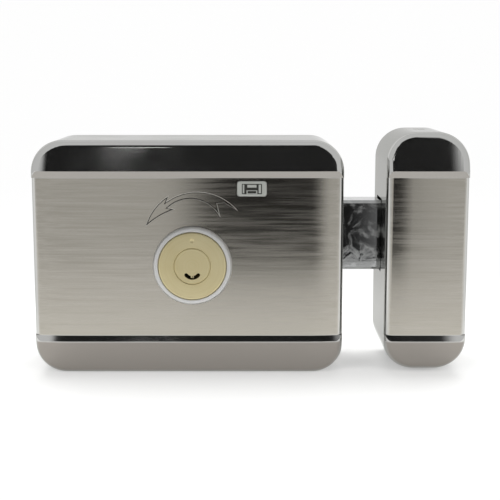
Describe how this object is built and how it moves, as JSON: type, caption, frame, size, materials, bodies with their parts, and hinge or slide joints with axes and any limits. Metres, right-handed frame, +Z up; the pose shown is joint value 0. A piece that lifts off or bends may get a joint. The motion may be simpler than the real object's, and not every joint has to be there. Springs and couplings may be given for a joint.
{
  "type": "electric gate lock",
  "caption": "Surface-mounted electric gate lock: drawn steel case with key cylinder, status window and square deadbolt, and its box strike.",
  "frame": {"origin": "centre of the lock's four mounting holes, on the back plane that lies against the gate", "axes": "+X towards the strike, along the bolt; +Y into the gate, so the front faces -Y; +Z up"},
  "size_m": [0.1835, 0.0423, 0.1034],
  "materials": {
    "drawn_stainless": "drawn stainless cover, brushed panel, polished facets",
    "zinc_plate": "zinc-plated steel sheet",
    "screw_steel": "nickel-plated steel",
    "ring_silver": "satin silver",
    "brass": "fine turned pale brass",
    "spring_steel": "drawn spring steel",
    "gear_steel": "sintered steel, oiled",
    "pinion_brass": "machined brass",
    "chromed_bolt": "chrome-plated steel",
    "keeper_steel": "milled steel",
    "motor_steel": "drawn motor can",
    "gearbox_alloy": "die-cast gearbox",
    "board_green": "solder-masked glass-fibre board",
    "standoff_brass": "hexagonal brass spacer",
    "terminal_green": "moulded terminal block",
    "capacitor_sleeve": "shrunk sleeve",
    "chip_black": "moulded package",
    "led_lamp": "diffused lamp body",
    "clear_window": "clear moulded plastic",
    "grommet_rubber": "black rubber",
    "sensor_black": "potted sensor",
    "magnet_nickel": "nickel-plated magnet"
  },
  "bodies": {
    "lock_case": {"case_cover": "drawn_stainless", "back_plate": "zinc_plate", "case_screws": "screw_steel", "trim_ring": "ring_silver", "cylinder_housing": "brass", "cylinder_bridge": "zinc_plate", "cylinder_screws": "screw_steel", "foot_screws": "screw_steel", "guide_posts": "screw_steel", "bolt_guide": "keeper_steel", "guide_screws": "screw_steel", "spring_rods": "screw_steel", "bolt_springs": "spring_steel", "motor_can": "motor_steel", "motor_gearbox": "gearbox_alloy", "motor_bracket": "zinc_plate", "motor_screws": "screw_steel", "circuit_board": "board_green", "board_standoffs": "standoff_brass", "board_screws": "screw_steel", "terminal_block": "terminal_green", "terminal_screws": "screw_steel", "storage_capacitors": "capacitor_sleeve", "control_chip": "chip_black", "status_led": "led_lamp", "status_window": "clear_window", "cable_grommet": "grommet_rubber", "door_sensor": "sensor_black", "strike_cover": "drawn_stainless", "strike_plate": "zinc_plate", "strike_screws": "screw_steel", "strike_keeper": "keeper_steel", "keeper_screws": "screw_steel", "door_magnet": "magnet_nickel"},
    "bolt": {"deadbolt": "chromed_bolt", "bolt_carriage": "gear_steel", "carriage_screws": "screw_steel"},
    "hub": {"cam_hub": "gear_steel"},
    "plug": {"key_plug": "brass", "plug_clip": "spring_steel", "tailpiece": "spring_steel"},
    "pinion": {"drive_pinion": "pinion_brass", "motor_shaft": "screw_steel"}
  },
  "joints": [
    {"name": "bolt_throw", "type": "slide", "parent": "lock_case", "child": "bolt", "axis": [-1, 0, 0], "range_m": [0, 0.023], "stiffness_N_per_m": 500, "springref_m": -0.01, "deforming": ["bolt_springs"]},
    {"name": "hub_turn", "type": "hinge", "parent": "lock_case", "child": "hub", "pos_m": [0.0019, 0, -0.0023], "axis": [0, -1, 0], "range_deg": [0, 88]},
    {"name": "pinion_turn", "type": "hinge", "parent": "lock_case", "child": "pinion", "pos_m": [-0.02, 0, 0.0292], "axis": [0, 1, 0], "range_deg": [0, 188.5]},
    {"name": "plug_turn", "type": "hinge", "parent": "hub", "child": "plug", "pos_m": [0.0019, 0, -0.0023], "axis": [0, -1, 0], "range_deg": [-88, 0]}
  ],
  "couplings": [
    {"joint": "hub_turn", "follows": "bolt_throw", "rad_per_m": 66.667},
    {"joint": "pinion_turn", "follows": "bolt_throw", "rad_per_m": 142.86}
  ]
}
